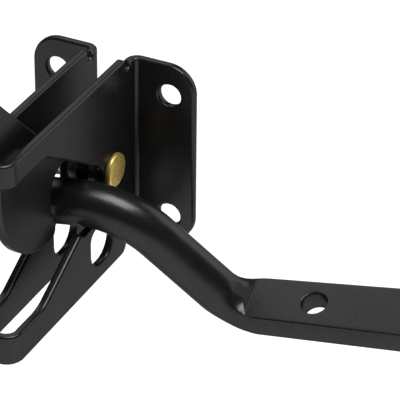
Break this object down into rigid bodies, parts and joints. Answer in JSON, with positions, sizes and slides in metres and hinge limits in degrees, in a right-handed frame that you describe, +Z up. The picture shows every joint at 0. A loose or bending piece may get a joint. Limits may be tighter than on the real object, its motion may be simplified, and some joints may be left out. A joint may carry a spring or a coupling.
{
  "type": "gravity gate latch",
  "caption": "Automatic gate latch: a folded steel channel case, a weighted pawl with a thumb lever on a brass pin, and a cranked strike bar resting in it.",
  "frame": {"origin": "on the plane of the flanges' back faces, at the centre of the four screw holes", "axes": "+Y into the post that the latch is screwed to, +X right along the strike bar, +Z up"},
  "size_m": [0.141, 0.0864, 0.0937],
  "materials": {
    "coated_steel": "satin black powder coat",
    "brass": "dull",
    "bright_steel": "dulled zinc plate"
  },
  "bodies": {
    "case": {"case": "coated_steel", "pivot_pin": "brass", "bush_right": "bright_steel", "bush_left": "bright_steel"},
    "pawl": {"pawl": "coated_steel"},
    "strike_bar": {"strike_bar": "coated_steel"}
  },
  "joints": [
    {"name": "pawl_lift", "type": "hinge", "parent": "case", "child": "pawl", "pos_m": [0, -0.0159, 0.0003], "axis": [-1, 0, 0], "range_deg": [0, 50]},
    {"name": "bar_roll", "type": "hinge", "parent": "case", "child": "strike_bar", "pos_m": [0, -0.0293, -0.0044], "axis": [0.986, 0.1036, 0.1305], "range_deg": [-235, 40]}
  ]
}
